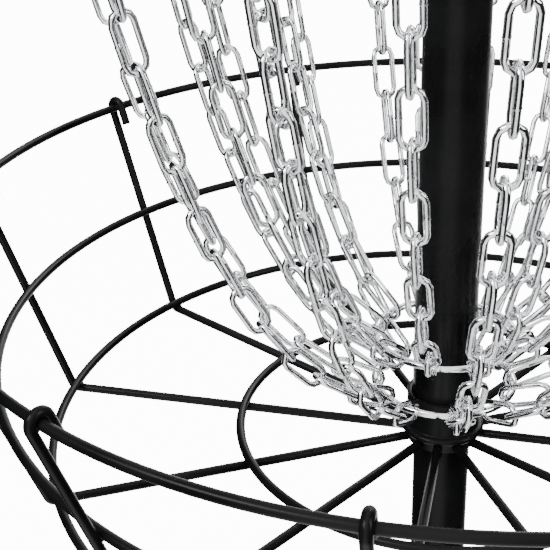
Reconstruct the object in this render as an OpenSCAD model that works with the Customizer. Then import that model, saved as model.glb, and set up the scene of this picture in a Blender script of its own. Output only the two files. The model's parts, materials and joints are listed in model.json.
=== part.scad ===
// Portable disc golf basket: a wire tray and a chain hanger on a two-piece pole, on a ring base.
// Origin: centre of the base ring on the ground. +Z is up, and one tray rib points along -Y.

/* [Overall] */
// Height of the tray floor's ring centres above the ground
floor_z = 520; // [450:5:640]
// Depth of the tray, from the floor rings to the rim
tray_depth = 158; // [130:1:200]
// Height of the hanger's radial ribs above the tray floor
hanger_rise = 811; // [720:1:980]

/* [Tray] */
// Radius of the tray rim, to the middle of its wire
rim_r = 328; // [270:1:400]
// Radius of the outer floor ring
floor_r = 268; // [215:1:330]
// Radius of the inner floor ring
inner_r = 139; // [90:1:180]
// Height of the middle ring above the floor rings
mid_rise = 75.5; // [60:0.5:95]
// Ribs around the tray
rib_count = 12; // [8:2:16]
// Rib wire thickness
rib_d = 6.25; // [4:0.25:6.5]
// Wire thickness of the floor and middle rings
ring_d = 6.25; // [4:0.25:6.5]
// Wire thickness of the rim
rim_d = 6.25; // [4.5:0.25:7]
// Length of a rib's end below the rim
stub_l = 15; // [8:1:30]

/* [Poles] */
// Outer diameter of the upper pole
upper_od = 41; // [34:0.5:46]
// Wall of the upper pole
upper_wall = 1.3; // [1:0.1:1.8]
// Wall of the lower pole
lower_wall = 1.8; // [1.2:0.1:2.5]
// Overlap of the upper pole on the lower pole, above the tray hub
pole_lap = 85; // [60:1:120]
// Gap all round between parts that slide on each other
slide_gap = 0.3; // [0.2:0.05:0.5]

/* [Hubs] */
// Wall of the tray hub, the hanger hub and the base socket
hub_wall = 3.2; // [3:0.1:5]
// Height of the tray hub above the floor rings
tray_hub_rise = 26; // [18:1:32]
// Lip of the tray hub beyond its wall
lip_w = 4; // [2:0.5:8]
// Height of the hanger hub
hanger_hub_h = 88; // [70:1:120]
// Height of the base socket
socket_h = 95; // [70:1:130]

/* [Hanger] */
// Radius of the ring that the outer chains hang from
hanger_r = 286; // [240:1:310]
// Radius of the ring that the inner chains hang from
inner_hook_r = 218; // [175:1:230]
// Depth of the outer chains' ring below the radial ribs
hook_ring_drop = 71; // [50:1:100]
// Height of the target band
band_h = 140; // [120:1:180]
// Thickness of the target band
band_t = 1.2; // [0.8:0.1:2]
// Turn of the hanger's ribs from the tray's ribs
hanger_turn = 4.5; // [0:0.5:15]

/* [Chains] */
// Outer length of a link
link_l = 40; // [36:0.5:44]
// Outer width of a link
link_w = 17; // [15.5:0.5:20]
// Link wire thickness
link_d = 4; // [3.25:0.25:4.5]
// Gap between linked wires
link_gap = 0.4; // [0.3:0.05:0.8]
// Least length of a chain against the straight line between its ends
slack = 1.01; // [1.005:0.005:1.05]
// Radius of the rings that gather the chains
gather_r = 46; // [40:1:60]
// Wire thickness of the gathering rings
gather_d = 5; // [4:0.25:5.5]
// Height of the outer chains' ring above the tray floor
outer_gather_z = 34; // [28:1:45]
// Height of the inner chains' ring above the outer chains' ring
gather_step = 35; // [28:1:45]
// Wire thickness of an S hook
hook_d = 4; // [3.5:0.25:4.5]
// Radius of an S hook's loops, to the middle of the wire
hook_loop_r = 6; // [5.75:0.25:7]

/* [Base] */
// Radius of the base ring, to the middle of its tube
base_r = 270; // [220:1:330]
// Diameter of the base ring tube
base_tube_d = 22; // [18:1:30]
// Diameter of the base spoke tubes
spoke_d = 19; // [15:1:22]
// Spokes of the base
spoke_count = 4; // [3:1:6]
// Thickness of the rubber feet under the ring
foot_t = 4; // [3:0.5:8]
// Length of a foot around the ring, in degrees
foot_span = 9; // [6:1:14]

/* [Fasteners] */
// Diameter of the clamp screws
screw_d = 8; // [6:0.5:10]
// Diameter of the clamp knobs
knob_d = 34; // [28:1:42]
// Diameter of the tray hub's set screws
set_screw_d = 6; // [5:0.5:8]
// Diameter of the pin that the tray hub rests on
rest_pin_d = 6; // [5:0.5:8]
// Rivets in the band's seam
rivet_count = 3; // [2:1:5]

/* [Hidden] */
$fn = 48;
weld = 0.3;                       // how far welded wires bite into each other
bite = 0.2;                       // how far a straight wire runs into a bend
bend_swell = 0.1;                 // how much thicker the wire is in a bend
rib_step = 360 / rib_count;
wire_gap = (rib_d + ring_d) / 2 - weld;
rim_gap = (rib_d + rim_d) / 2 - weld;
flare = atan2(rim_r - floor_r, tray_depth);
wall_dir = [sin(flare), cos(flare)];
wall_out = [cos(flare), -sin(flare)];
floor_c = [floor_r, 0];
rim_c = floor_c + wall_dir * tray_depth / cos(flare) + wall_out * (wire_gap - rim_gap);
mid_c = floor_c + wall_dir * mid_rise / cos(flare);

pole_r = upper_od / 2;
lower_r = pole_r - upper_wall - slide_gap;
hub_in = pole_r + slide_gap;
hub_out = hub_in + hub_wall;
seat_t = 3;                       // bottom plate of the tray hub, which the upper pole stands on
seat_top = -rib_d - 1;            // where the upper pole ends, from the floor rings' height
pole_top = hanger_rise + 12;
socket_floor = 5;
lower_pole_bottom = foot_t + socket_floor + 0.1;
socket_out = lower_r + slide_gap + hub_wall;

chain_step = rib_step;
outer_turn = hanger_turn + chain_step / 4;
inner_turn = hanger_turn - chain_step / 4;
hanger_wire = (rib_d + ring_d) / 2 - weld;
band_ring_r = hanger_r + 2 * hanger_wire;
band_in = band_ring_r + ring_d / 2 - weld / 2;
top_ring_z = hanger_rise - hanger_wire;
hook_ring_z = hanger_rise - hook_ring_drop;
band_bottom = hanger_rise + rib_d / 2 - band_h;
low_ring_z = band_bottom + ring_d;
inner_gather_z = outer_gather_z + gather_step;

link_step = link_l - 2 * link_d - link_gap;
link_mid_w = link_w - link_d;
link_side = link_l - link_w;
hook_hold = 4 * hook_loop_r - hook_d / 2 - link_gap - ring_d / 2;
first_link = (link_l - link_d) / 2 - gather_d / 2 - link_gap - link_d / 2;
last_reach = link_l / 2 - link_d - link_gap - hook_d / 2;

knob_t = 14;
knob_turn = 180;                  // side of the hanger that its knob is on
base_turn = 45;                   // side of the base that its knob is on
boss_d = screw_d + 8;
boss_l = 12;
shank_tip = 0.3;                  // clearance of a clamp screw's tip from the pole

outer_top = [hanger_r, hook_ring_z];
inner_top = [inner_hook_r, top_ring_z];
outer_foot = [gather_r, outer_gather_z];
inner_foot = [gather_r, inner_gather_z];

CHAINS = [for (i = [1 : rib_count]) i];
OUTER = [for (i = CHAINS) str("outer_chain_", i)];
INNER = [for (i = CHAINS) str("inner_chain_", i)];

steel = "silver";
coat = [0.08, 0.08, 0.09];
rubber = [0.16, 0.16, 0.16];

// curves
function sinh(x) = (exp(x) - exp(-x)) / 2;
function cosh(x) = (exp(x) + exp(-x)) / 2;
function asinh(x) = ln(x + sqrt(x * x + 1));

// t for which sinh(t) / t is the given ratio, by halving the range
function half_span(ratio, low = 0.001, high = 6, left = 40) =
    left == 0 ? (low + high) / 2 :
    let (t = (low + high) / 2)
    sinh(t) / t > ratio ? half_span(ratio, low, t, left - 1) : half_span(ratio, t, high, left - 1);

// Links that reach from one wire centre to the other with the least slack
function links(foot, top) =
    2 * ceil((slack * norm(top - foot) - first_link - last_reach - hook_hold + link_step) / link_step / 2);
function chain_length(n) = first_link + (n - 1) * link_step + last_reach + hook_hold;

// A hanging chain of the given length: [sag radius, arc length of its foot from the lowest point, lowest point]
function hang(foot, top, length) =
    let (d = top[0] - foot[0],
         h = top[1] - foot[1],
         a = d / 2 / half_span(sqrt(length * length - h * h) / d),
         mean = asinh(h / (2 * a * sinh(d / 2 / a))),
         r0 = (foot[0] + top[0]) / 2 - a * mean,
         x = (foot[0] - r0) / a)
    [a, a * sinh(x), [r0, foot[1] - a * (cosh(x) - 1)]];
function hang_at(curve, s) =
    let (a = curve[0], x = asinh((curve[1] + s) / a))
    [curve[2][0] + a * x, curve[2][1] + a * (cosh(x) - 1)];

// wires, drawn in the XY plane
module bar(from, to, d) {
    run = to - from;
    translate([from[0], from[1], 0])
        rotate([0, 0, atan2(run[1], run[0])])
            rotate([0, 90, 0])
                cylinder(h = norm(run), d = d);
}

module arc(centre, r, d, from, to) {
    translate([centre[0], centre[1], 0])
        rotate_extrude(angle = to - from, start = from)
            translate([r, 0])
                circle(d = d);
}

// A straight length that runs a little into the slightly thicker bends at its ends
module run(from, to, d, bends = [1, 1]) {
    along = (to - from) / norm(to - from);
    bar(from - along * bite * bends[0], to + along * bite * bends[1], d);
}

module bend(centre, r, d, from, to) {
    arc(centre, r, d + bend_swell, from, to);
}

// Stands a shape drawn in the XY plane upright, so that X is the radius and Y the height
module radial(turn, z = 0) {
    translate([0, 0, z])
        rotate([0, 0, turn - 90])
            rotate([90, 0, 0])
                children();
}

module wire_ring(r, z, d) {
    translate([0, 0, z])
        rotate_extrude()
            translate([r, 0])
                circle(d = d);
}

module tube(outer, inner, from, to) {
    translate([0, 0, from])
        difference() {
            cylinder(h = to - from, r = outer);
            translate([0, 0, -1])
                cylinder(h = to - from + 2, r = inner);
        }
}

// tray
module tray_rib() {
    run([hub_out - weld, -wire_gap], [floor_r, -wire_gap], rib_d, [0, 1]);
    bend(floor_c, wire_gap, rib_d, -90, -flare);
    run(floor_c + wall_out * wire_gap, rim_c + wall_out * rim_gap, rib_d);
    bend(rim_c, rim_gap, rib_d, -flare, 180 - flare);
    run(rim_c - wall_out * rim_gap, rim_c - wall_out * rim_gap - wall_dir * stub_l, rib_d, [1, 0]);
}

module tray_ribs() {
    color(coat)
        for (i = [0 : rib_count - 1])
            radial(i * rib_step, floor_z)
                tray_rib();
}

module tray_rim() {
    color(coat)
        wire_ring(rim_c[0], floor_z + rim_c[1], rim_d);
}

module tray_mid_ring() {
    color(coat)
        wire_ring(mid_c[0], floor_z + mid_c[1], ring_d);
}

module tray_floor_ring() {
    color(coat)
        wire_ring(floor_r, floor_z, ring_d);
}

module tray_inner_ring() {
    color(coat)
        wire_ring(inner_r, floor_z, ring_d);
}

// Cup that the upper pole stands in, with a rounded lip lying on the ribs
module tray_hub() {
    lip_bottom = -wire_gap + rib_d / 2 - weld;
    lip_top = lip_bottom + rib_d;
    set_z = (lip_top + tray_hub_rise) / 2;
    color(coat)
        translate([0, 0, floor_z])
            difference() {
                union() {
                    tube(hub_out, hub_in, seat_top - seat_t, tray_hub_rise);
                    tube(hub_in + weld, lower_r + slide_gap, seat_top - seat_t, seat_top);
                    tube(hub_out + lip_w - rib_d / 2, hub_in + hub_wall / 2, lip_bottom, lip_top);
                    wire_ring(hub_out + lip_w - rib_d / 2, (lip_bottom + lip_top) / 2, rib_d);
                }
                for (side = [60, 120])
                    rotate([0, 0, side])
                        translate([0, 0, set_z])
                            rotate([0, 90, 0])
                                cylinder(h = hub_out + 1, d = set_screw_d);
            }
}

module tray_set_screws() {
    lip_top = -wire_gap + rib_d * 1.5 - weld;
    set_z = (lip_top + tray_hub_rise) / 2;
    set_l = hub_wall + 1.5;
    color(steel)
        for (side = [60, 120])
            translate([0, 0, floor_z + set_z])
                rotate([0, 0, side])
                    translate([pole_r + shank_tip, 0, 0])
                        rotate([0, 90, 0])
                            difference() {
                                cylinder(h = set_l, d = set_screw_d - 0.1);
                                translate([0, 0, set_l - 2.5])
                                    cylinder(h = 3, d = set_screw_d / 2, $fn = 6);
                            }
}

// poles
module lower_pole() {
    top = floor_z + seat_top + pole_lap;
    color(coat)
        difference() {
            tube(lower_r, lower_r - lower_wall, lower_pole_bottom, top);
            translate([0, lower_r + 1, floor_z + seat_top - seat_t - rest_pin_d / 2 - slide_gap / 2])
                rotate([90, 0, 0])
                    cylinder(h = 2 * lower_r + 2, d = rest_pin_d);
        }
}

module tray_rest_pin() {
    reach = hub_out - 1;
    color(coat)
        translate([0, reach, floor_z + seat_top - seat_t - rest_pin_d / 2 - slide_gap / 2])
            rotate([90, 0, 0])
                cylinder(h = 2 * reach, d = rest_pin_d - 0.1);
}

module upper_pole() {
    color(coat)
        tube(pole_r, pole_r - upper_wall, floor_z + seat_top, floor_z + pole_top);
}

module pole_cap() {
    plug_l = 20;
    color(rubber)
        translate([0, 0, floor_z + pole_top]) {
            translate([0, 0, -plug_l])
                cylinder(h = plug_l, r = pole_r - upper_wall - 0.1);
            cylinder(h = 2, r = pole_r - 0.3);
        }
}

// hanger
module hanger_hub() {
    bottom = pole_top + 3 - hanger_hub_h;
    color(coat)
        translate([0, 0, floor_z])
            difference() {
                union() {
                    tube(hub_out, hub_in, bottom, pole_top + 3);
                    translate([0, 0, pole_top + 2 + slide_gap])
                        cylinder(h = 3, r = hub_out);
                    translate([0, 0, bottom + boss_d])
                        rotate([0, 90, knob_turn - 90])
                            translate([0, 0, hub_in + hub_wall / 2])
                                cylinder(h = boss_l, d = boss_d);
                }
                translate([0, 0, bottom + boss_d])
                    rotate([0, 90, knob_turn - 90])
                        cylinder(h = hub_out + boss_l + 5, d = screw_d);
            }
}
module hanger_rib() {
    down_r = hanger_r + hanger_wire;
    run([hub_out - weld, hanger_rise], [hanger_r, hanger_rise], rib_d, [0, 1]);
    bend([hanger_r, top_ring_z], hanger_wire, rib_d, 0, 90);
    run([down_r, top_ring_z], [down_r, band_bottom + 1], rib_d, [1, 0]);
}

module hanger_ribs() {
    color(coat)
        for (i = [0 : rib_count - 1])
            radial(hanger_turn + i * rib_step, floor_z)
                hanger_rib();
}

module hanger_top_ring() {
    color(coat)
        wire_ring(band_ring_r, floor_z + top_ring_z - 2, ring_d);
}

module outer_hook_ring() {
    color(coat)
        wire_ring(hanger_r, floor_z + hook_ring_z, ring_d);
}

module inner_hook_ring() {
    color(coat)
        wire_ring(inner_hook_r, floor_z + top_ring_z, ring_d);
}

module band_bottom_ring() {
    color(coat)
        wire_ring(band_ring_r, floor_z + low_ring_z, ring_d);
}

module target_band() {
    color(coat)
        tube(band_in + band_t, band_in, floor_z + band_bottom, floor_z + band_bottom + band_h);
}

module band_rivets() {
    color(steel)
        for (i = [1 : rivet_count])
            radial(hanger_turn + rib_step / 2 + 180, floor_z + band_bottom + i * band_h / (rivet_count + 1))
                rotate([0, 90, 0])
                    translate([0, 0, band_in + band_t - 0.1])
                        intersection() {
                            translate([0, 0, -3])
                                sphere(r = 5);
                            cylinder(h = 3, r = 5);
                        }
}

// clamp screws
// A knob on a screw along +X, with the screw's tip at x = 0
module clamp_knob(reach) {
    rotate([0, 90, 0]) {
        cylinder(h = reach + 2, d = screw_d - 0.1);
        translate([0, 0, reach])
            difference() {
                cylinder(h = knob_t, d = knob_d);
                for (i = [0 : 5])
                    rotate([0, 0, i * 60])
                        translate([knob_d / 2 + knob_d / 12, 0, -1])
                            cylinder(h = knob_t + 2, d = knob_d / 3);
            }
    }
}

module hanger_knob() {
    tip = pole_r + shank_tip;
    bottom = pole_top + 3 - hanger_hub_h;
    color(rubber)
        translate([0, 0, floor_z + bottom + boss_d])
            rotate([0, 0, knob_turn - 90])
                translate([tip, 0, 0])
                    clamp_knob(hub_in + hub_wall / 2 + boss_l - tip + 2);
}

module base_knob() {
    tip = lower_r + shank_tip;
    color(rubber)
        translate([0, 0, foot_t + socket_h - boss_d])
            rotate([0, 0, base_turn - 90])
                translate([tip, 0, 0])
                    clamp_knob(socket_out + boss_l - hub_wall / 2 - tip + 2);
}

// base
module base_ring() {
    color(coat)
        wire_ring(base_r, foot_t + base_tube_d / 2, base_tube_d);
}

module base_spokes() {
    spoke_z = foot_t + base_tube_d / 2;
    color(coat)
        for (i = [0 : spoke_count - 1])
            rotate([0, 0, i * 360 / spoke_count])
                translate([socket_out - weld, 0, spoke_z])
                    rotate([0, 90, 0])
                        difference() {
                            cylinder(h = base_r - socket_out + weld, d = spoke_d);
                            translate([0, 0, -1])
                                cylinder(h = base_r, d = spoke_d - 3);
                            translate([0, spoke_d, base_r - socket_out + weld])
                                rotate([90, 0, 0])
                                    cylinder(h = 2 * spoke_d, d = base_tube_d - 2 * weld);
                        }
}

module base_socket() {
    color(coat)
        difference() {
            union() {
                translate([0, 0, foot_t])
                    cylinder(h = socket_h, r = socket_out);
                translate([0, 0, foot_t + socket_h - boss_d])
                    rotate([0, 90, base_turn - 90])
                        translate([0, 0, socket_out - hub_wall / 2])
                            cylinder(h = boss_l, d = boss_d);
            }
            translate([0, 0, foot_t + socket_floor])
                cylinder(h = socket_h, r = lower_r + slide_gap);
            translate([0, 0, foot_t + socket_h - boss_d])
                rotate([0, 90, base_turn - 90])
                    cylinder(h = socket_out + boss_l + 5, d = screw_d);
        }
}

// Rubber shoes clipped under the ring tube
module base_feet() {
    color(rubber)
        for (i = [0 : spoke_count - 1])
            rotate([0, 0, 45 + i * 360 / spoke_count - foot_span / 2])
                rotate_extrude(angle = foot_span)
                    difference() {
                        translate([base_r - base_tube_d / 2 - 3, 0])
                            square([base_tube_d + 6, foot_t + base_tube_d / 2]);
                        translate([base_r, foot_t + base_tube_d / 2])
                            circle(d = base_tube_d);
                    }
}

// chains
module link() {
    for (side = [0, 180])
        rotate([0, 0, side]) {
            arc([link_side / 2, 0], link_mid_w / 2, link_d, -90, 90);
            bar([-link_side / 2, link_mid_w / 2], [link_side / 2, link_mid_w / 2], link_d);
        }
}

// S hook along +Y, from the middle of its lower wire
module s_hook() {
    arc([0, hook_loop_r], hook_loop_r, hook_d, -200, 90);
    arc([0, 3 * hook_loop_r], hook_loop_r, hook_d, -20, 270);
}

module chain(foot, top, turn) {
    n = links(foot, top);
    curve = hang(foot, top, chain_length(n));
    joint = [for (i = [0 : n]) i == 0 ? foot : hang_at(curve, first_link + (i - 0.5) * link_step)];
    color(steel)
        radial(turn, floor_z) {
            for (i = [0 : n - 1]) {
                along = (joint[i + 1] - joint[i]) / norm(joint[i + 1] - joint[i]);
                at = i == 0 ? joint[1] - along * link_step / 2 : (joint[i] + joint[i + 1]) / 2;
                translate([at[0], at[1], 0])
                    rotate([0, 0, atan2(along[1], along[0])])
                        rotate([i % 2 * 90, 0, 0])
                            link();
            }
            hang_dir = (top - joint[n]) / norm(top - joint[n]);
            low = top - hang_dir * hook_hold;
            translate([low[0], low[1], 0])
                rotate([0, 0, atan2(hang_dir[1], hang_dir[0]) - 90])
                    s_hook();
        }
}

module outer_gather_ring() {
    color(steel)
        wire_ring(gather_r, floor_z + outer_gather_z, gather_d);
}

module inner_gather_ring() {
    color(steel)
        wire_ring(gather_r, floor_z + inner_gather_z, gather_d);
}

base_ring();
base_spokes();
base_socket();
base_feet();
base_knob();
lower_pole();
tray_rest_pin();
tray_hub();
tray_ribs();
tray_rim();
tray_mid_ring();
tray_floor_ring();
tray_inner_ring();
tray_set_screws();
upper_pole();
hanger_hub();
hanger_ribs();
hanger_top_ring();
outer_hook_ring();
inner_hook_ring();
band_bottom_ring();
target_band();
band_rivets();
hanger_knob();
pole_cap();
outer_gather_ring();
inner_gather_ring();
for (i = CHAINS) {
    chain(outer_foot, outer_top, outer_turn + (i - 1) * chain_step);
    chain(inner_foot, inner_top, inner_turn + (i - 1) * chain_step);
}
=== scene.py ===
import json
import math
import bpy
from mathutils import Matrix, Vector


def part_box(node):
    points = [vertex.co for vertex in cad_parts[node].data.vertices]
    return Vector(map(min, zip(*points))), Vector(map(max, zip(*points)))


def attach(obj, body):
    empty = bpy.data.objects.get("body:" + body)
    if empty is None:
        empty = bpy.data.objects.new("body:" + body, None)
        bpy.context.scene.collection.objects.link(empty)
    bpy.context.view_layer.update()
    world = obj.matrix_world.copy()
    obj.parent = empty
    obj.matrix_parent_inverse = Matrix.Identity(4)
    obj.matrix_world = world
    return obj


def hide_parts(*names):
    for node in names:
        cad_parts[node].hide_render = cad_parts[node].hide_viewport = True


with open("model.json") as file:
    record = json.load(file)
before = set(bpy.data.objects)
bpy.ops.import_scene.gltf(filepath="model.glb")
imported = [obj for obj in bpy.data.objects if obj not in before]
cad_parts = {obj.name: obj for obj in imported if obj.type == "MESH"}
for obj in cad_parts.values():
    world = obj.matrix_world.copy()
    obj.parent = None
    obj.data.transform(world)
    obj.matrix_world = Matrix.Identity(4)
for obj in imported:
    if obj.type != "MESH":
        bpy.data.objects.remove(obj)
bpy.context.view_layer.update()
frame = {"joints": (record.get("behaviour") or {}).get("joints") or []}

print("frame loaded")


# helpers for modelling in edit mode

def clearSelection():
    if bpy.context.object and bpy.context.object.mode != "OBJECT":
        bpy.ops.object.mode_set(mode="OBJECT")
    bpy.ops.object.select_all(action="DESELECT")


def active():
    return bpy.context.object


def editMode():
    bpy.ops.object.mode_set(mode="EDIT")


def objectMode():
    bpy.ops.object.mode_set(mode="OBJECT")


def pickOnly(obj):
    clearSelection()
    obj.select_set(True)
    bpy.context.view_layer.objects.active = obj


# selects the vertices that pass the test, and stays in edit mode
def pickVerts(test):
    bpy.ops.mesh.select_mode(type="VERT")
    bpy.ops.mesh.select_all(action="DESELECT")
    objectMode()
    for v in active().data.vertices:
        v.select = test(v.co)
    editMode()


def pickFaces(test):
    bpy.ops.mesh.select_mode(type="FACE")
    bpy.ops.mesh.select_all(action="DESELECT")
    objectMode()
    for f in active().data.polygons:
        f.select = test(f.center, f.normal)
    editMode()


def cleanShell(distance=0.000004):
    bpy.ops.mesh.select_all(action="SELECT")
    bpy.ops.mesh.remove_doubles(threshold=distance)
    bpy.ops.mesh.normals_make_consistent(inside=False)


def applyModifiers(obj):
    pickOnly(obj)
    for m in list(obj.modifiers):
        bpy.ops.object.modifier_apply(modifier=m.name)


def applyPlace(obj):
    pickOnly(obj)
    bpy.ops.object.transform_apply(location=True, rotation=True, scale=True)


def softenEdges(obj, width, segments=2, degrees=35):
    m = obj.modifiers.new("edge", "BEVEL")
    m.width = width
    m.segments = segments
    m.limit_method = "ANGLE"
    m.angle_limit = math.radians(degrees)
    applyModifiers(obj)


def shade(obj, degrees=40):
    pickOnly(obj)
    bpy.ops.object.shade_smooth_by_angle(angle=math.radians(degrees))


# a copy with its own mesh, moved by the matrix
def copyOf(obj, matrix):
    other = obj.copy()
    other.data = obj.data.copy()
    bpy.context.scene.collection.objects.link(other)
    other.data.transform(matrix)
    return other


def joined(objects):
    clearSelection()
    for o in objects:
        o.select_set(True)
    bpy.context.view_layer.objects.active = objects[0]
    if len(objects) > 1:
        bpy.ops.object.join()
    return active()


def removed(obj):
    bpy.data.objects.remove(obj)


# puts a finished piece on its body, in place of its CAD node
def finishPiece(obj, node, body, material, degrees=40):
    obj.name = node + "_look"
    obj.data.name = obj.name
    shade(obj, degrees)
    obj.data.materials.clear()
    obj.data.materials.append(material)
    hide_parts(node)
    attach(obj, body)
    return obj


# stands a shape drawn in the XZ plane at a turn counted from -Y
def atTurn(turn, z=0.0):
    return Matrix.Translation((0, 0, z)) @ Matrix.Rotation(turn - math.pi / 2, 4, "Z")


layAlongX = Matrix.Rotation(math.pi / 2, 4, "Y")     # lays an upright shape along +X


# ring radius, wire radius and height of a ring node
def ringOf(node):
    low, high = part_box(node)
    wire = (high.z - low.z) / 2
    return high.x - wire, wire, (high.z + low.z) / 2


def newGroup(name, inputs, outputs):
    group = bpy.data.node_groups.new(name, "ShaderNodeTree")
    for label, value in inputs:
        socket = group.interface.new_socket(name=label, in_out="INPUT", socket_type="NodeSocketFloat")
        socket.default_value = value
    for label in outputs:
        group.interface.new_socket(name=label, in_out="OUTPUT", socket_type="NodeSocketFloat")
    return group, group.nodes.new("NodeGroupInput"), group.nodes.new("NodeGroupOutput")


def noiseNode(tree, scale, detail, rough=0.5):
    node = tree.nodes.new("ShaderNodeTexNoise")
    node.inputs["Scale"].default_value = scale
    node.inputs["Detail"].default_value = detail
    node.inputs["Roughness"].default_value = rough
    return node


def rangeNode(tree, value, fromLow, fromHigh, toLow, toHigh):
    node = tree.nodes.new("ShaderNodeMapRange")
    node.inputs["From Min"].default_value = fromLow
    node.inputs["From Max"].default_value = fromHigh
    node.inputs["To Min"].default_value = toLow
    node.inputs["To Max"].default_value = toHigh
    tree.links.new(value, node.inputs["Value"])
    return node.outputs["Result"]


# the fine skin of a coated, plated or moulded surface: a height, a slow drift of tone and flecks
def makeSkinGroup():
    group, inputs, outputs = newGroup("surfaceSkin", [("Grain Size", 0.001), ("Drift Size", 0.06)],
                                      ["Height", "Drift", "Fleck"])
    place = group.nodes.new("ShaderNodeTexCoord")
    for label, output, detail in (("Grain Size", "Height", 3.0), ("Drift Size", "Drift", 2.0)):
        scale = group.nodes.new("ShaderNodeMath")
        scale.operation = "DIVIDE"
        scale.inputs[0].default_value = 1.0
        group.links.new(inputs.outputs[label], scale.inputs[1])
        noise = noiseNode(group, 1.0, detail)
        group.links.new(place.outputs["Object"], noise.inputs["Vector"])
        group.links.new(scale.outputs[0], noise.inputs["Scale"])
        group.links.new(noise.outputs["Fac"], outputs.inputs[output])
    fleck = group.nodes.new("ShaderNodeTexVoronoi")
    half = group.nodes.new("ShaderNodeMath")
    half.operation = "DIVIDE"
    half.inputs[0].default_value = 0.5
    group.links.new(inputs.outputs["Grain Size"], half.inputs[1])
    group.links.new(place.outputs["Object"], fleck.inputs["Vector"])
    group.links.new(half.outputs[0], fleck.inputs["Scale"])
    group.links.new(fleck.outputs["Distance"], outputs.inputs["Fleck"])
    return group


def newMaterial(name):
    material = bpy.data.materials.new(name)
    material.use_nodes = True
    tree = material.node_tree
    return material, tree, tree.nodes["Principled BSDF"]


def placeSkin(tree, group, grain, drift):
    node = tree.nodes.new("ShaderNodeGroup")
    node.node_tree = group
    node.inputs["Grain Size"].default_value = grain
    node.inputs["Drift Size"].default_value = drift
    return node


def bumpFrom(tree, height, strength, distance):
    bump = tree.nodes.new("ShaderNodeBump")
    bump.inputs["Strength"].default_value = strength
    bump.inputs["Distance"].default_value = distance
    tree.links.new(height, bump.inputs["Height"])
    return bump.outputs["Normal"]


def mixColors(tree, factor, first, second):
    mix = tree.nodes.new("ShaderNodeMix")
    mix.data_type = "RGBA"
    tree.links.new(factor, mix.inputs["Factor"])
    for socket, value in ((mix.inputs["A"], first), (mix.inputs["B"], second)):
        if isinstance(value, tuple):
            socket.default_value = (*value, 1.0)
        else:
            tree.links.new(value, socket)
    return mix.outputs["Result"]


# satin black powder coat
coatLook = {
    "dark": (0.0040, 0.0040, 0.0044),
    "light": (0.0085, 0.0085, 0.0092),
    "glossLow": 0.22,
    "glossHigh": 0.36,
    "ior": 1.18,           # low: the coat stays black and only its edges turn pale
    "grain": 0.0011,
    "drift": 0.045,
    "bump": 0.35,
    "grainDepth": 0.00006,
}


def makeCoat(skin):
    material, tree, shader = newMaterial("powderCoat")
    node = placeSkin(tree, skin, coatLook["grain"], coatLook["drift"])
    color = mixColors(tree, rangeNode(tree, node.outputs["Drift"], 0.35, 0.7, 0.0, 1.0),
                      coatLook["dark"], coatLook["light"])
    tree.links.new(color, shader.inputs["Base Color"])
    rough = rangeNode(tree, node.outputs["Drift"], 0.3, 0.75, coatLook["glossLow"], coatLook["glossHigh"])
    tree.links.new(rough, shader.inputs["Roughness"])
    shader.inputs["IOR"].default_value = coatLook["ior"]
    bump = bumpFrom(tree, node.outputs["Height"], coatLook["bump"], coatLook["grainDepth"])
    tree.links.new(bump, shader.inputs["Normal"])
    return material


# bright zinc plate; the weld of a link is a duller, whiter band
zincLook = {
    "bright": (0.93, 0.94, 0.95),
    "grey": (0.78, 0.80, 0.82),
    "weld": (0.98, 0.98, 0.97),
    "glossLow": 0.05,
    "glossHigh": 0.16,
    "weldGloss": 0.42,
    "grain": 0.0016,
    "drift": 0.009,
    "bump": 0.5,
    "grainDepth": 0.00005,
}


def makeZinc(skin):
    material, tree, shader = newMaterial("zincPlate")
    shader.inputs["Metallic"].default_value = 1.0
    node = placeSkin(tree, skin, zincLook["grain"], zincLook["drift"])
    mark = tree.nodes.new("ShaderNodeAttribute")
    mark.attribute_name = "weldMark"
    drift = rangeNode(tree, node.outputs["Drift"], 0.35, 0.68, 0.0, 1.0)
    plate = mixColors(tree, drift, zincLook["bright"], zincLook["grey"])
    color = mixColors(tree, mark.outputs["Fac"], plate, zincLook["weld"])
    tree.links.new(color, shader.inputs["Base Color"])
    gloss = rangeNode(tree, node.outputs["Drift"], 0.3, 0.75, zincLook["glossLow"], zincLook["glossHigh"])
    rough = tree.nodes.new("ShaderNodeMix")
    tree.links.new(mark.outputs["Fac"], rough.inputs["Factor"])
    tree.links.new(gloss, rough.inputs["A"])
    rough.inputs["B"].default_value = zincLook["weldGloss"]
    tree.links.new(rough.outputs["Result"], shader.inputs["Roughness"])
    bump = bumpFrom(tree, node.outputs["Height"], zincLook["bump"], zincLook["grainDepth"])
    tree.links.new(bump, shader.inputs["Normal"])
    return material


# soft black rubber of the shoes and the pole's cap
rubberLook = {
    "dark": (0.012, 0.012, 0.012),
    "light": (0.035, 0.035, 0.034),
    "glossFrom": "Fleck",
    "glossSpan": (0.0, 1.0),
    "gloss": (0.62, 0.8),
    "grain": 0.0009,
    "drift": 0.02,
    "bump": 0.5,
    "grainDepth": 0.00012,
}

# moulded plastic of the knobs
knobLook = {
    "dark": (0.010, 0.010, 0.011),
    "light": (0.020, 0.020, 0.021),
    "glossFrom": "Height",
    "glossSpan": (0.3, 0.7),
    "gloss": (0.45, 0.58),
    "grain": 0.0006,
    "drift": 0.015,
    "bump": 0.4,
    "grainDepth": 0.00008,
}


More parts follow.
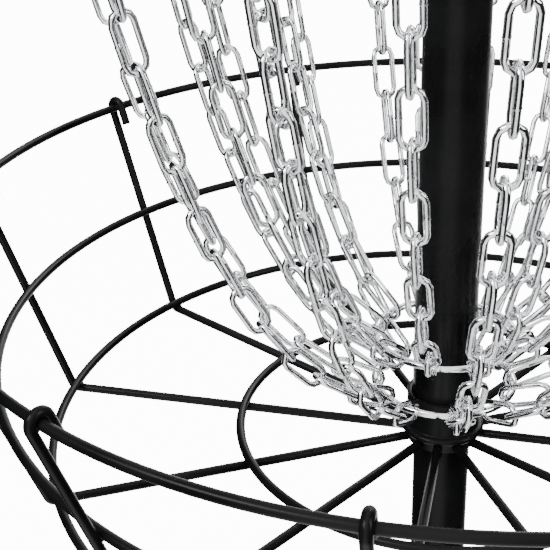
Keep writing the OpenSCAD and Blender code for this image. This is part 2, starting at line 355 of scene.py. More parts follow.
def makeMoulded(name, look, skin):
    material, tree, shader = newMaterial(name)
    node = placeSkin(tree, skin, look["grain"], look["drift"])
    tone = rangeNode(tree, node.outputs["Drift"], 0.35, 0.7, 0.0, 1.0)
    tree.links.new(mixColors(tree, tone, look["dark"], look["light"]), shader.inputs["Base Color"])
    gloss = rangeNode(tree, node.outputs[look["glossFrom"]], *look["glossSpan"], *look["gloss"])
    tree.links.new(gloss, shader.inputs["Roughness"])
    bump = bumpFrom(tree, node.outputs["Fleck"], look["bump"], look["grainDepth"])
    tree.links.new(bump, shader.inputs["Normal"])
    return material


skinGroup = makeSkinGroup()
coat = makeCoat(skinGroup)
zinc = makeZinc(skinGroup)
rubber = makeMoulded("footRubber", rubberLook, skinGroup)
knobPlastic = makeMoulded("knobPlastic", knobLook, skinGroup)
print("materials made")


ringLook = {
    "sides": 16,
    "steps": 168,
    "gatherSteps": 72,
    "baseSteps": 144,
    "seamBand": 0.0035,    # half the length of the butt weld
    "seamSwell": 1.06,
    "hangerTurn": 4.5,     # of the hanger against the tray, in degrees
}
# where each ring's butt weld sits, counted in ribs from -Y
trayWelds = {"tray_rim": 6.4, "tray_mid_ring": 5.3, "tray_floor_ring": 6.6, "tray_inner_ring": 7.5}
hangerWelds = {"hanger_top_ring": 6.5, "outer_hook_ring": 6.55, "inner_hook_ring": 6.5,
               "band_bottom_ring": 6.5}


# a bent wire ring, closed by a slightly swollen butt weld
def makeRing(node, body, material, seamTurn, steps=None):
    radius, wire, height = ringOf(node)
    clearSelection()
    bpy.ops.mesh.primitive_torus_add(major_radius=radius, minor_radius=wire,
                                     major_segments=steps or ringLook["steps"],
                                     minor_segments=ringLook["sides"])
    editMode()
    pickVerts(lambda co: co.x > 0 and abs(co.y) < 0.00001)
    bpy.ops.mesh.bevel(offset=ringLook["seamBand"] * min(1, wire / 0.0025), segments=2, affect="EDGES")
    pickVerts(lambda co: co.x > 0 and abs(co.y) < 0.00001)
    bpy.ops.transform.resize(value=(ringLook["seamSwell"], 1, ringLook["seamSwell"]),
                             center_override=(radius, 0, 0))
    objectMode()
    ring = active()
    ring.data.transform(atTurn(seamTurn, height))
    return finishPiece(ring, node, body, material, 60)


hangerTurn = math.radians(ringLook["hangerTurn"])
ribStep = math.tau / 12
for node, ribsAlong in trayWelds.items():
    makeRing(node, "tray", coat, ribsAlong * ribStep)
for node, ribsAlong in hangerWelds.items():
    makeRing(node, "hanger", coat, hangerTurn + ribsAlong * ribStep)
for node in ("outer_gather_ring", "inner_gather_ring"):
    makeRing(node, node, zinc, math.radians(200), ringLook["gatherSteps"])
print("wire rings made")


ribLook = {
    "wire": 0.003125,
    "sides": 16,
    "bendSteps": 10,
    "stub": 0.015,          # end of a rib below the rim
    "bite": 0.0003,         # how far welded wires sink into each other
    "endRound": 0.0004,
    "nugget": 0.0031,       # half the length of a weld nugget
    "nuggetHeight": 0.0011,
}


# a round wire's start: a circle facing along +X
def startWire(radius, sides, x, z):
    clearSelection()
    bpy.ops.mesh.primitive_circle_add(vertices=sides, radius=radius, fill_type="NGON", location=(x, 0, z),
                                      rotation=(0, math.pi / 2, 0))
    bpy.ops.object.transform_apply(location=True, rotation=True, scale=True)
    editMode()
    bpy.ops.mesh.select_all(action="SELECT")


def runWire(dx, dz):
    bpy.ops.mesh.extrude_region_move(TRANSFORM_OT_translate={"value": (dx, 0, dz)})


# turns the wire's end about a bend's centre; a positive angle turns +X towards +Z (the tool spins backwards)
def bendWire(x, z, angle, steps):
    bpy.ops.mesh.spin(steps=steps, angle=angle, center=(x, 0, z), axis=(0, 1, 0))


def endWire(roundness):
    objectMode()
    wire = active()
    editMode()
    cleanShell()
    objectMode()
    softenEdges(wire, roundness, 2, 50)
    return wire


# a resistance weld between crossing wires: a flattened nugget
def makeNugget():
    clearSelection()
    bpy.ops.mesh.primitive_uv_sphere_add(segments=10, ring_count=6, radius=1.0)
    nugget = active()
    nugget.scale = (ribLook["nugget"], ribLook["nugget"], ribLook["nuggetHeight"])
    applyPlace(nugget)
    return nugget


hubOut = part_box("hanger_hub")[1].x
trayFloor = ringOf("tray_floor_ring")
trayRim = ringOf("tray_rim")
trayMid = ringOf("tray_mid_ring")
trayInner = ringOf("tray_inner_ring")
floorZ = trayFloor[2]
gap = ribLook["wire"] + trayFloor[1] - ribLook["bite"]
rimGap = ribLook["wire"] + trayRim[1] - ribLook["bite"]
# lean of the tray's wall: the floor ring and the middle ring lie on the same line
flare = math.atan2(trayMid[0] - trayFloor[0], trayMid[2] - floorZ)
wallDir = Vector((math.sin(flare), 0, math.cos(flare)))
wallOut = Vector((math.cos(flare), 0, -math.sin(flare)))


def makeTrayRib():
    look = ribLook
    start = hubOut - look["bite"]
    foot = Vector((trayFloor[0], 0, floorZ))
    top = Vector((trayRim[0], 0, trayRim[2]))
    startWire(look["wire"], look["sides"], start, floorZ - gap)
    runWire(trayFloor[0] - start, 0)
    bendWire(foot.x, foot.z, math.pi / 2 - flare, look["bendSteps"])
    run = (top + wallOut * rimGap) - (foot + wallOut * gap)
    runWire(run.x, run.z)
    bendWire(top.x, top.z, math.pi, look["bendSteps"] * 2)
    runWire(-wallDir.x * look["stub"], -wallDir.z * look["stub"])
    rib = endWire(look["endRound"])
    parts = [rib]
    contacts = [(trayInner[0], floorZ - trayInner[1], 0), (trayFloor[0] - 0.0007, floorZ - trayFloor[1], 0)]
    mid = Vector((trayMid[0], 0, trayMid[2])) + wallOut * (trayMid[1] - look["bite"] / 2)
    contacts.append((mid.x, mid.z, flare))
    for side in (-1, 1):
        rim = top + wallOut * (trayRim[1] * side)
        contacts.append((rim.x, rim.z, flare))
    nugget = makeNugget()
    for x, z, lean in contacts:
        upright = Matrix.Rotation(lean + math.pi / 2 if lean else 0, 4, "Y")
        parts.append(copyOf(nugget, Matrix.Translation((x, 0, z)) @ upright))
    removed(nugget)
    return joined(parts)


def copyAround(one, count, turn, step):
    copies = [copyOf(one, atTurn(turn + i * step)) for i in range(count)]
    removed(one)
    return joined(copies)


ribs = copyAround(makeTrayRib(), 12, 0.0, ribStep)
finishPiece(ribs, "tray_ribs", "tray", coat, 50)
print("tray ribs made")

hangerTop = ringOf("hanger_top_ring")
hookRing = ringOf("outer_hook_ring")
innerHook = ringOf("inner_hook_ring")
bandRing = ringOf("band_bottom_ring")
hangerZ = innerHook[2] + gap
legR = hookRing[0] + gap


def makeHangerRib():
    look = ribLook
    start = hubOut - look["bite"]
    startWire(look["wire"], look["sides"], start, hangerZ)
    runWire(hookRing[0] - start, 0)
    bendWire(hookRing[0], hangerZ - gap, -math.pi / 2, look["bendSteps"])
    runWire(0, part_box("hanger_ribs")[0].z - (hangerZ - gap))
    rib = endWire(look["endRound"])
    parts = [rib]
    nugget = makeNugget()
    wallContacts = [(hookRing[0] + hookRing[1], hookRing[2]), (hangerTop[0] - hangerTop[1], hangerTop[2]),
                    (bandRing[0] - bandRing[1], bandRing[2])]
    parts.append(copyOf(nugget, Matrix.Translation((innerHook[0], 0, hangerZ - look["wire"]))))
    for x, z in wallContacts:
        parts.append(copyOf(nugget, Matrix.Translation((x, 0, z)) @ layAlongX))
    removed(nugget)
    return joined(parts)


ribs = copyAround(makeHangerRib(), 12, hangerTurn, ribStep)
finishPiece(ribs, "hanger_ribs", "hanger", coat, 50)
print("hanger ribs made")


# one vertex drawn along (radius, height) points; an outline that starts on the axis is left open there
def drawOutline(outline):
    clearSelection()
    bpy.ops.mesh.primitive_plane_add(size=0.001)
    editMode()
    bpy.ops.mesh.select_mode(type="VERT")
    bpy.ops.mesh.select_all(action="SELECT")
    bpy.ops.mesh.merge(type="CENTER")
    bpy.ops.transform.translate(value=(outline[0][0], 0, outline[0][1]))
    ends = outline[1:] + (outline[:1] if outline[0][0] > 0 else [])
    for (r0, z0), (r1, z1) in zip(outline, ends):
        bpy.ops.mesh.extrude_vertices_move(TRANSFORM_OT_translate={"value": (r1 - r0, 0, z1 - z0)})
    bpy.ops.mesh.select_all(action="SELECT")
    bpy.ops.mesh.remove_doubles(threshold=0.000002)
    bpy.ops.mesh.select_all(action="SELECT")


# the outline spun about the pole's axis
def lathe(outline, steps=72):
    drawOutline(outline)
    bpy.ops.mesh.spin(steps=steps, angle=math.tau, center=(0, 0, 0), axis=(0, 0, 1))
    cleanShell()
    objectMode()
    return active()


def arcPoints(x, z, radius, start, end, steps):
    angles = [start + (end - start) * i / steps for i in range(steps + 1)]
    return [(x + radius * math.cos(a), z + radius * math.sin(a)) for a in angles]


tubeLook = {"wall": 0.0013, "lowerWall": 0.0018, "edge": 0.0004}


def makeTube(node, body, wall):
    low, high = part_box(node)
    r = high.x
    tube = lathe([(r - wall, low.z), (r, low.z), (r, high.z), (r - wall, high.z)], 96)
    softenEdges(tube, tubeLook["edge"])
    finishPiece(tube, node, body, coat)


makeTube("upper_pole", "upper_pole", tubeLook["wall"])
makeTube("lower_pole", "lower_pole", tubeLook["lowerWall"])


hubLook = {
    "lipRound": 0.0025,
    "topRound": 0.0012,
    "edge": 0.0005,
    "crown": 0.002,        # round at the top of the hanger's hub
    "socketRound": 0.0012,
    "bore": 0.0003,        # space round the pole
    "seat": 0.003,
}


# collar with a rounded lip that lies on the ribs' ends
def makeTrayHub():
    low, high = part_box("tray_hub")
    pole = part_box("upper_pole")[1].x
    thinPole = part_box("lower_pole")[1].x
    lipOut = high.x
    lipLow = floorZ - gap + ribLook["wire"] - ribLook["bite"]
    r = hubLook["lipRound"]
    fillet = hubLook["topRound"]
    bore = pole + hubLook["bore"]
    seatTop = low.z + hubLook["seat"]
    outline = [(thinPole + hubLook["bore"], low.z), (hubOut, low.z), (hubOut, lipLow)]
    outline += arcPoints(lipOut - r, lipLow + r, r, -math.pi / 2, math.pi / 2, 10)
    outline += arcPoints(hubOut + fillet, lipLow + 2 * r + fillet, fillet, -math.pi / 2, -math.pi, 4)
    outline += [(hubOut, high.z), (bore, high.z), (bore, seatTop), (thinPole + hubLook["bore"], seatTop)]
    hub = lathe(outline, 96)
    softenEdges(hub, fillet * 0.5, 2, 50)
    finishPiece(hub, "tray_hub", "tray", coat)


makeTrayHub()


screwLook = {
    "radius": 0.00395,
    "boss": 0.008,
    "bossReach": 0.01015,  # how far a boss stands out of its hub
    "bossSunk": 0.002,     # how far it starts inside it
    "knob": 0.017,
    "knobThick": 0.014,
    "knobSpace": 0.002,    # between the boss and the knob
    "hollow": 0.13,        # depth of the finger hollows, as a share of the knob
    "tip": 0.0003,         # space between the screw's tip and the pole
}


# a threaded boss on a hub, a short thick-walled tube along +X
def makeBoss(hubRadius, height, turn):
    inner, outer = screwLook["radius"], screwLook["boss"]
    start, end = hubRadius - screwLook["bossSunk"], hubRadius + screwLook["bossReach"]
    boss = lathe([(inner, start), (outer, start), (outer, end), (inner, end)], 32)
    softenEdges(boss, 0.0006)
    boss.data.transform(atTurn(turn, height) @ layAlongX)
    return boss


hangerKnobZ = (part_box("hanger_knob")[0].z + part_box("hanger_knob")[1].z) / 2
baseKnobZ = (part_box("base_knob")[0].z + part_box("base_knob")[1].z) / 2


def makeHangerHub():
    low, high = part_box("hanger_hub")
    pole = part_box("upper_pole")[1].x
    bore = pole + hubLook["bore"]
    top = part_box("pole_cap")[1].z + 0.0003
    outline = [(0.0, top), (bore, top), (bore, low.z), (hubOut, low.z)]
    r = hubLook["crown"]
    outline += arcPoints(hubOut - r, high.z - r, r, 0.0, math.pi / 2, 6) + [(0.0, high.z)]
    hub = lathe(outline, 96)
    softenEdges(hub, hubLook["edge"], 2, 50)
    boss = makeBoss(hubOut, hangerKnobZ, math.pi)
    finishPiece(joined([hub, boss]), "hanger_hub", "hanger", coat)


makeHangerHub()


def makeSocket():
    low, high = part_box("base_socket")
    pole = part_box("lower_pole")[1].x
    bore = pole + hubLook["bore"]
    out = -low.x
    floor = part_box("lower_pole")[0].z - 0.0001
    r = hubLook["socketRound"]
    outline = [(0.0, low.z)] + arcPoints(out - r, low.z + r, r, -math.pi / 2, 0.0, 3)
    outline += [(out, high.z), (bore, high.z), (bore, floor), (0.0, floor)]
    socket = lathe(outline, 96)
    softenEdges(socket, hubLook["edge"], 2, 50)
    boss = makeBoss(out, baseKnobZ, math.radians(45))
    finishPiece(joined([socket, boss]), "base_socket", "base", coat)


makeSocket()


# a six-lobed knob on its screw, drawn upright and then laid along the screw's axis
def makeKnob(node, body, poleRadius, height, turn):
    look = screwLook
    reach = hubOut + look["bossReach"] + look["knobSpace"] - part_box("upper_pole")[1].x - look["tip"]
    clearSelection()
    bpy.ops.mesh.primitive_cylinder_add(vertices=72, radius=look["knob"], depth=look["knobThick"],
                                        location=(0, 0, reach + look["knobThick"] / 2))
    bpy.ops.object.transform_apply(location=True, rotation=True, scale=True)
    knob = active()
    editMode()
    # six hollows for the fingers: every ring of vertices at one angle from a lobe moves in together
    for offset in range(5, 31, 5):
        press = 1 - look["hollow"] * (1 - math.cos(math.radians(offset * 6))) / 2
        pickVerts(lambda co: abs(abs((math.degrees(math.atan2(co.y, co.x)) + 30) % 60 - 30) - offset) < 1)
        bpy.ops.transform.resize(value=(press, press, 1), center_override=(0, 0, 0))
    pickFaces(lambda center, normal: normal.z > 0.9)
    bpy.ops.mesh.inset(thickness=0.0030, depth=0)
    bpy.ops.mesh.inset(thickness=0.0012, depth=-0.0010)
    objectMode()
    softenEdges(knob, 0.0014, 3, 50)
    r = look["radius"]
    screw = lathe([(0.0, 0.0), (r - 0.0008, 0.0), (r, 0.0008), (r, reach + 0.002), (0.0, reach + 0.002)], 32)
    whole = joined([knob, screw])
    tip = Matrix.Translation((poleRadius + look["tip"], 0, 0))
    whole.data.transform(atTurn(turn, height) @ tip @ layAlongX)
    finishPiece(whole, node, body, knobPlastic)


makeKnob("hanger_knob", "hanger_knob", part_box("upper_pole")[1].x, hangerKnobZ, math.pi)
makeKnob("base_knob", "base_knob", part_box("lower_pole")[1].x, baseKnobZ, math.radians(45))
print("hubs, poles and knobs made")


bandLook = {
    "grooveAt": (0.16, 0.84),      # shares of the band's height
    "groove": 0.0006,
    "grooveHalf": 0.004,
    "edge": 0.0003,
}


# sheet strip with two rolled grooves that stiffen it
def makeBand():
    low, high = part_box("target_band")
    out = high.x
    thick = out - (bandRing[0] + bandRing[1] - ribLook["bite"] / 2)
    inner = out - thick
    tall = high.z - low.z
    half = bandLook["grooveHalf"]
    grooves = []
    for share in bandLook["grooveAt"]:
        z = low.z + tall * share
        for dz, press in ((-half, 0), (-half / 2, 0.7), (0, 1), (half / 2, 0.7), (half, 0)):
            grooves.append((out - bandLook["groove"] * press, z + dz))
    outline = [(out, low.z)] + grooves + [(out, high.z), (inner, high.z), (inner, low.z)]
    band = lathe(outline, 192)
    softenEdges(band, bandLook["edge"], 2, 60)
    finishPiece(band, "target_band", "hanger", coat)


makeBand()


rivetLook = {
    "count": 3,
    "radius": 0.004,
    "dome": [(0.004, -0.0001), (0.0038, 0.0006), (0.0027, 0.0014), (0.0014, 0.0018)],
    "height": 0.0019,
}


# domed rivet heads, in a row up the band's seam
def makeRivets():
    low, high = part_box("band_rivets")
    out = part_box("target_band")[1].x
    look = rivetLook
    head = lathe([(0.0, -0.0001)] + look["dome"] + [(0.0, look["height"])], 24)
    spread = (high.z - low.z) - 2 * look["radius"]
    turn = hangerTurn + ribStep / 2 + math.pi
    heads = []
    for i in range(look["count"]):
        z = low.z + look["radius"] + spread * i / (look["count"] - 1)
        heads.append(copyOf(head, atTurn(turn, z) @ Matrix.Translation((out, 0, 0)) @ layAlongX))
    removed(head)
    finishPiece(joined(heads), "band_rivets", "hanger", zinc)


makeRivets()


def makePoleCap():
    low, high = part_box("pole_cap")
    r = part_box("upper_pole")[1].x
    plug = r - tubeLook["wall"] - 0.0001
    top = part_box("upper_pole")[1].z
    outline = [(0.0, low.z), (plug - 0.001, low.z), (plug, low.z + 0.001), (plug, top), (r - 0.0003, top)]
    outline += arcPoints(r - 0.0017, high.z - 0.0014, 0.0014, 0.0, math.pi / 2, 5) + [(0.0, high.z)]
    finishPiece(lathe(outline, 64), "pole_cap", "upper_pole", rubber)


makePoleCap()


setScrewLook = {"radius": 0.00295, "key": 0.0015, "keyDepth": 0.0024, "edge": 0.0003, "turns": (60, 120)}


# socket set screws of the tray's hub, with a round key recess outside
def makeSetScrews():
    low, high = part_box("tray_set_screws")
    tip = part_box("upper_pole")[1].x + screwLook["tip"]
    look = setScrewLook
    r = look["radius"]
    length = (high.y - r / 2) / math.cos(math.radians(30)) - tip
    z = (low.z + high.z) / 2
    screws = []
    clearSelection()
    bpy.ops.mesh.primitive_cylinder_add(vertices=36, radius=r, depth=length, location=(0, 0, length / 2))
    bpy.ops.object.transform_apply(location=True, rotation=True, scale=True)
    screw = active()
    editMode()
    pickFaces(lambda center, normal: normal.z > 0.9)
    bpy.ops.mesh.inset(thickness=r - look["key"], depth=0)
    bpy.ops.mesh.extrude_region_move(TRANSFORM_OT_translate={"value": (0, 0, -look["keyDepth"])})
    objectMode()
    softenEdges(screw, look["edge"], 2, 50)
    for degrees in look["turns"]:
        turn = math.radians(degrees + 90)
        screws.append(copyOf(screw, atTurn(turn, z) @ Matrix.Translation((tip, 0, 0)) @ layAlongX))
    removed(screw)
    finishPiece(joined(screws), "tray_set_screws", "tray", zinc)


makeSetScrews()


pinChamfer = 0.0006


# chamfered cross pin that the tray's hub rests on
def makeRestPin():
    low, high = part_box("tray_rest_pin")
    r = (high.z - low.z) / 2
    end = (high.y - low.y) / 2
    cut = pinChamfer
    pin = lathe([(0.0, -end), (r - cut, -end), (r, -end + cut),
                 (r, end - cut), (r - cut, end), (0.0, end)], 32)
    layAcross = Matrix.Rotation(math.pi / 2, 4, "X")
    pin.data.transform(Matrix.Translation((0, 0, (low.z + high.z) / 2)) @ layAcross)
    finishPiece(pin, "tray_rest_pin", "lower_pole", coat)


makeRestPin()
print("band, cap and screws made")


baseLook = {
    "spokes": 4,
    "spokeRadius": 0.0095,
    "spokeWall": 0.0015,
    "beads": (0.0016, 0.0018),     # weld beads at the socket and at the ring
    "footSpan": 9.0,               # length of a shoe round the ring, in degrees
    "shoe": 0.003,
    "shoeRound": 0.003,
    "shoeEdge": 0.0012,
}

makeRing("base_ring", "base", coat, math.radians(20), ringLook["baseSteps"])


# four tube spokes, each with a weld bead at both ends
def makeSpokes():
    radius, tube, height = ringOf("base_ring")
    start = -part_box("base_socket")[0].x - 0.0003
    look = baseLook
    outer = look["spokeRadius"]
    inner = outer - look["spokeWall"]
    end = radius - tube * 0.6
    parts = [lathe([(inner, start), (outer, start), (outer, end), (inner, end)], 48)]
    for along, wide in zip((start + 0.001, radius - tube * 0.93), look["beads"]):
        clearSelection()
        bpy.ops.mesh.primitive_torus_add(major_radius=outer + 0.0002, minor_radius=wide, major_segments=48,
                                         minor_segments=10, location=(0, 0, along))
        applyPlace(active())
        parts.append(active())
    whole = joined(parts)
    whole.data.transform(Matrix.Translation((0, 0, height)) @ layAlongX)
    quarter = math.tau / look["spokes"]
    spokes = [copyOf(whole, Matrix.Rotation(i * quarter, 4, "Z")) for i in range(look["spokes"])]
    removed(whole)
    finishPiece(joined(spokes), "base_spokes", "base", coat)


makeSpokes()


# rubber shoes that wrap the lower half of the base ring
def makeFeet():
    radius, tube, height = ringOf("base_ring")
    look = baseLook
    half = tube + look["shoe"]
    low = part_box("base_feet")[0].z
    r = look["shoeRound"]
    outline = [(radius - half, height)]
    outline += arcPoints(radius - half + r, low + r, r, math.pi, 1.5 * math.pi, 4)
    outline += arcPoints(radius + half - r, low + r, r, 1.5 * math.pi, math.tau, 4)
    outline += [(radius + half, height)] + arcPoints(radius, height, tube, 0.0, -math.pi, 24)
    drawOutline(outline)
    bpy.ops.mesh.edge_face_add()
    bpy.ops.mesh.spin(steps=6, angle=math.radians(look["footSpan"]), center=(0, 0, 0), axis=(0, 0, -1))
    cleanShell()
    objectMode()
    shoe = active()
    softenEdges(shoe, look["shoeEdge"], 2, 50)
    feet = []
    for i in range(look["spokes"]):
        turn = math.radians(45 - look["footSpan"] / 2) + i * math.tau / look["spokes"]
        feet.append(copyOf(shoe, Matrix.Rotation(turn, 4, "Z")))
    removed(shoe)
    finishPiece(joined(feet), "base_feet", "base", rubber)


makeFeet()
print("base made")


chainLook = {
    "length": 0.040,       # outside of a link
    "width": 0.017,
    "wire": 0.002,
    "play": 0.0004,        # space between linked wires
    "sides": 8,
    "bendSteps": 5,
    "weldHalf": 0.0009,
    "weldSwell": 1.16,
    "hookWire": 0.002,
    "hookLoop": 0.006,
    "hookOpen": 290,       # how far round each loop of the hook goes, in degrees
    "hookSteps": 14,
    "links": 24,
}


# one link in the XY plane, along X, welded in the middle of one leg
def makeLink():
    look = chainLook
    bend = look["width"] / 2 - look["wire"]
    side = (look["length"] - look["width"]) / 2
    clearSelection()
    bpy.ops.mesh.primitive_torus_add(major_radius=bend, minor_radius=look["wire"],
                                     major_segments=look["bendSteps"] * 2, minor_segments=look["sides"],
                                     rotation=(0, 0, math.pi / 2))
    applyPlace(active())
    editMode()
    bpy.ops.mesh.select_all(action="SELECT")
    bpy.ops.mesh.bisect(plane_co=(0, 0, 0), plane_no=(1, 0, 0), clear_inner=True)
    bpy.ops.mesh.select_all(action="SELECT")
    bpy.ops.transform.translate(value=(side, 0, 0))
    pickVerts(lambda co: co.x < side + 0.00001)
    bpy.ops.mesh.extrude_edges_move(TRANSFORM_OT_translate={"value": (look["weldHalf"] - side, 0, 0)})
    bpy.ops.mesh.extrude_edges_move(TRANSFORM_OT_translate={"value": (-look["weldHalf"], 0, 0)})
    pickVerts(lambda co: co.x < 0.00001 and co.y > 0)
    bpy.ops.transform.resize(value=(1, look["weldSwell"], look["weldSwell"]), center_override=(0, bend, 0))
    objectMode()
    link = active()
    mirror = link.modifiers.new("otherHalf", "MIRROR")
    mirror.use_clip = True
    mirror.merge_threshold = 0.00001
    applyModifiers(link)
    editMode()
    cleanShell(0.00001)
    objectMode()
    mark = link.data.attributes.new("weldMark", "FLOAT", "POINT")
    for v in link.data.vertices:
        mark.data[v.index].value = 1.0 if v.co.y > 0 and abs(v.co.x) < 0.0001 else 0.0
    return link


# one S hook along +Y, from the middle of its lower wire
def makeHook():
    look = chainLook
    loop = look["hookLoop"]
    around = math.radians(look["hookOpen"])
    startTurn = Matrix.Rotation(math.radians(160), 4, "Z")
    clearSelection()
    bpy.ops.mesh.primitive_circle_add(vertices=look["sides"] + 2, radius=look["hookWire"], fill_type="NGON",
                                      rotation=(math.pi / 2, 0, 0))
    applyPlace(active())
    hook = active()
    hook.data.transform(Matrix.Translation((0, loop, 0)) @ startTurn @ Matrix.Translation((loop, 0, 0)))
    editMode()
    bpy.ops.mesh.select_all(action="SELECT")
    bpy.ops.mesh.spin(steps=look["hookSteps"], angle=around, center=(0, loop, 0), axis=(0, 0, -1))
    bpy.ops.mesh.spin(steps=look["hookSteps"], angle=around, center=(0, 3 * loop, 0), axis=(0, 0, 1))
    cleanShell()
    objectMode()
    softenEdges(hook, 0.0006, 2, 50)
    return hook


# the value whose hyperbolic sine is the given number of times itself, found by halving
def sinhRatio(ratio):
    low, high = 0.001, 6.0
    for _ in range(50):
        t = (low + high) / 2
        low, high = (low, t) if math.sinh(t) / t > ratio else (t, high)
    return t


# places the links of one chain on its hanging curve; foot and top are (radius, height) of the ring wires
def makeChain(node, turn, foot, top, link, hook, ringWire):
    look = chainLook
    pitch = look["length"] - 4 * look["wire"] - look["play"]
    wires = ringWire + look["wire"]
    firstLink = look["length"] / 2 - look["wire"] - wires - look["play"]
    lastReach = look["length"] / 2 - 2 * look["wire"] - look["play"] - look["hookWire"]
    hookHold = 4 * look["hookLoop"] - look["hookWire"] - look["play"] - hookRing[1]
    count = look["links"]
    length = firstLink + (count - 1) * pitch + lastReach + hookHold
    across, up = top[0] - foot[0], top[1] - foot[1]
    sag = across / 2 / sinhRatio(math.sqrt(length ** 2 - up ** 2) / across)
    mean = math.asinh(up / (2 * sag * math.sinh(across / 2 / sag)))
    lowR = (foot[0] + top[0]) / 2 - sag * mean
    lowZ = foot[1] - sag * (math.cosh((foot[0] - lowR) / sag) - 1)
    start = sag * math.sinh((foot[0] - lowR) / sag)

    def curveAt(s):
        x = math.asinh((start + s) / sag)
        return Vector((lowR + sag * x, 0, lowZ + sag * (math.cosh(x) - 1)))

    joints = [Vector((foot[0], 0, foot[1]))] + [curveAt(firstLink + (i + 0.5) * pitch) for i in range(count)]
    parts = []
    for i in range(count):
        along = (joints[i + 1] - joints[i]).normalized()
        middle = joints[1] - along * pitch / 2 if i == 0 else (joints[i] + joints[i + 1]) / 2
        lean = Matrix.Rotation(-math.atan2(along.z, along.x), 4, "Y")
        # upright links lie in the chain's own plane, the others across it
        roll = Matrix.Rotation(math.pi / 2 * (1 - i % 2) + math.pi * (i // 2 % 2), 4, "X")
        parts.append(copyOf(link, Matrix.Translation(middle) @ lean @ roll))
    topPoint = Vector((top[0], 0, top[1]))
    along = (topPoint - joints[-1]).normalized()
    lean = Matrix.Rotation(math.pi / 2 - math.atan2(along.z, along.x), 4, "Y")
    stand = Matrix.Rotation(math.pi / 2, 4, "X")
    parts.append(copyOf(hook, Matrix.Translation(topPoint - along * hookHold) @ lean @ stand))
    chain = joined(parts)
    chain.data.transform(atTurn(turn))
    return finishPiece(chain, node, node, zinc, 80)


link = makeLink()
hook = makeHook()
print("link and hook made")
for kind, hang in (("outer", hookRing), ("inner", innerHook)):
    ring = ringOf(kind + "_gather_ring")
    foot, top = (ring[0], ring[2]), (hang[0], hang[2])
    for joint in frame["joints"]:
        if joint["name"].startswith(kind + "_chain"):
            x, y, z = joint["pos_m"]
            makeChain(joint["child"], math.atan2(x, -y), foot, top, link, hook, ring[1])
removed(link)
removed(hook)
print("chains made")


studio = {
    "floor": (0.90, 0.90, 0.895),
    "floorGlow": 12.0,             # seen by the camera only
    "worldDark": 0.02,
    "worldBright": 2.2,
    "worldTurn": (0.42, 0.72),     # where the world goes from bright to dark, from the middle to either side
    "worldRagged": 0.35,           # how unevenly it does so
    "keyPower": 90,
    "fillPower": 40,
}


def makeFloor():
    clearSelection()
    bpy.ops.mesh.primitive_plane_add(size=40)
    floor = active()
    floor.name = "studioFloor"
    material, tree, shader = newMaterial("paleFloor")
    noise = noiseNode(tree, 3.0, 2.0)
    place = tree.nodes.new("ShaderNodeTexCoord")
    tree.links.new(place.outputs["Object"], noise.inputs["Vector"])
    color = mixColors(tree, noise.outputs["Fac"], studio["floor"], tuple(c * 0.99 for c in studio["floor"]))
    tree.links.new(color, shader.inputs["Base Color"])
    shader.inputs["Roughness"].default_value = 0.8
    shader.inputs["Emission Color"].default_value = (1.0, 1.0, 1.0, 1.0)
    shader.inputs["Emission Strength"].default_value = studio["floorGlow"]
    floor.data.materials.append(material)
    # the pieces are lit by the world and the softboxes, not by the floor's glow
    floor.visible_diffuse = False
    floor.visible_glossy = False


def makeLight(name, place, target, size, power):
    light = bpy.data.lights.new(name, "AREA")
    light.shape = "RECTANGLE"
    light.size, light.size_y = size
    light.energy = power
    lamp = bpy.data.objects.new(name, light)
    bpy.context.scene.collection.objects.link(lamp)
    lamp.location = place
    lamp.rotation_euler = (Vector(target) - Vector(place)).to_track_quat("-Z", "Y").to_euler()


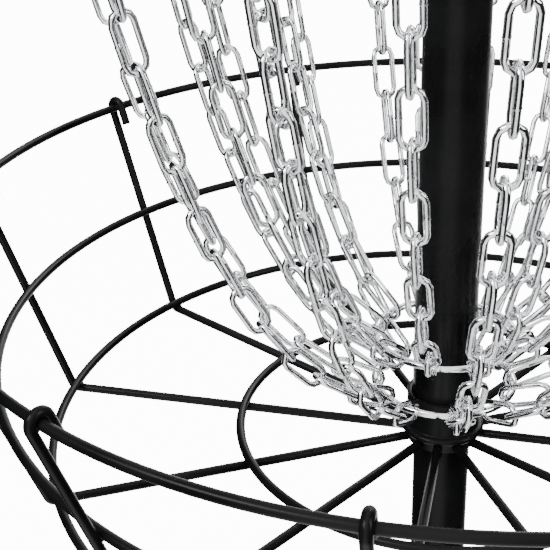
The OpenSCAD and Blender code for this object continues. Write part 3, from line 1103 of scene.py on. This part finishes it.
def makeWorld():
    world = bpy.data.worlds.new("softStudio")
    world.use_nodes = True
    tree = world.node_tree
    back = tree.nodes["Background"]
    back.inputs["Color"].default_value = (1.0, 1.0, 1.0, 1.0)
    place = tree.nodes.new("ShaderNodeTexCoord")
    parts = tree.nodes.new("ShaderNodeSeparateXYZ")
    tree.links.new(place.outputs["Generated"], parts.inputs["Vector"])
    ragged = noiseNode(tree, 4.0, 1.0)
    tree.links.new(place.outputs["Generated"], ragged.inputs["Vector"])
    aside = tree.nodes.new("ShaderNodeMath")
    aside.operation = "ABSOLUTE"
    tree.links.new(parts.outputs["X"], aside.inputs[0])
    bent = tree.nodes.new("ShaderNodeMath")
    bent.operation = "MULTIPLY_ADD"
    tree.links.new(ragged.outputs["Fac"], bent.inputs[0])
    bent.inputs[1].default_value = studio["worldRagged"]
    tree.links.new(aside.outputs["Value"], bent.inputs[2])
    # dark to either side, so that bright metal shows dark edges
    level = rangeNode(tree, bent.outputs["Value"], *studio["worldTurn"],
                      studio["worldBright"], studio["worldDark"])
    tree.links.new(level, back.inputs["Strength"])
    bpy.context.scene.world = world


makeFloor()
makeWorld()
makeLight("keySoftbox", (-1.6, -1.8, 2.6), (0, 0, 0.7), (1.6, 1.2), studio["keyPower"])
makeLight("sideSoftbox", (2.4, -0.6, 1.8), (0, 0, 0.7), (0.8, 1.8), studio["fillPower"])
makeLight("backSoftbox", (0.6, 2.6, 2.2), (0, 0, 0.8), (1.8, 1.0), studio["fillPower"])


view = {
    "turn": 4.897,         # round the pole from -Y, in degrees
    "distance": 0.74718,   # from the pole's axis
    "rise": 0.48361,       # above the tray's floor
    "pan": -12.057,
    "tilt": 24.103,        # down
    "roll": -2.773,
    "lens": 82.014,
    "shiftX": 0.1255,
    "shiftY": -0.0909,
}


def makeCamera():
    turn = math.radians(view["turn"])
    pan = math.radians(view["pan"]) - turn
    tilt, roll = math.radians(view["tilt"]), math.radians(view["roll"])
    look = Vector((math.sin(pan) * math.cos(tilt), math.cos(pan) * math.cos(tilt), -math.sin(tilt)))
    side = Vector((math.cos(pan), -math.sin(pan), 0))
    up = side.cross(look)
    sideRolled = side * math.cos(roll) + up * math.sin(roll)
    upRolled = up * math.cos(roll) - side * math.sin(roll)
    camera = bpy.data.cameras.new("mainView")
    camera.sensor_width = 36
    camera.lens = view["lens"]
    camera.shift_x, camera.shift_y = view["shiftX"], view["shiftY"]
    camera.clip_start, camera.clip_end = 0.01, 100
    holder = bpy.data.objects.new("mainView", camera)
    bpy.context.scene.collection.objects.link(holder)
    basis = Matrix((sideRolled, upRolled, -look)).transposed().to_4x4()
    away = view["distance"]
    place = Vector((math.sin(turn) * away, -math.cos(turn) * away, floorZ + view["rise"]))
    holder.matrix_world = Matrix.Translation(place) @ basis
    bpy.context.scene.camera = holder


makeCamera()
clearSelection()
print("studio and camera set")
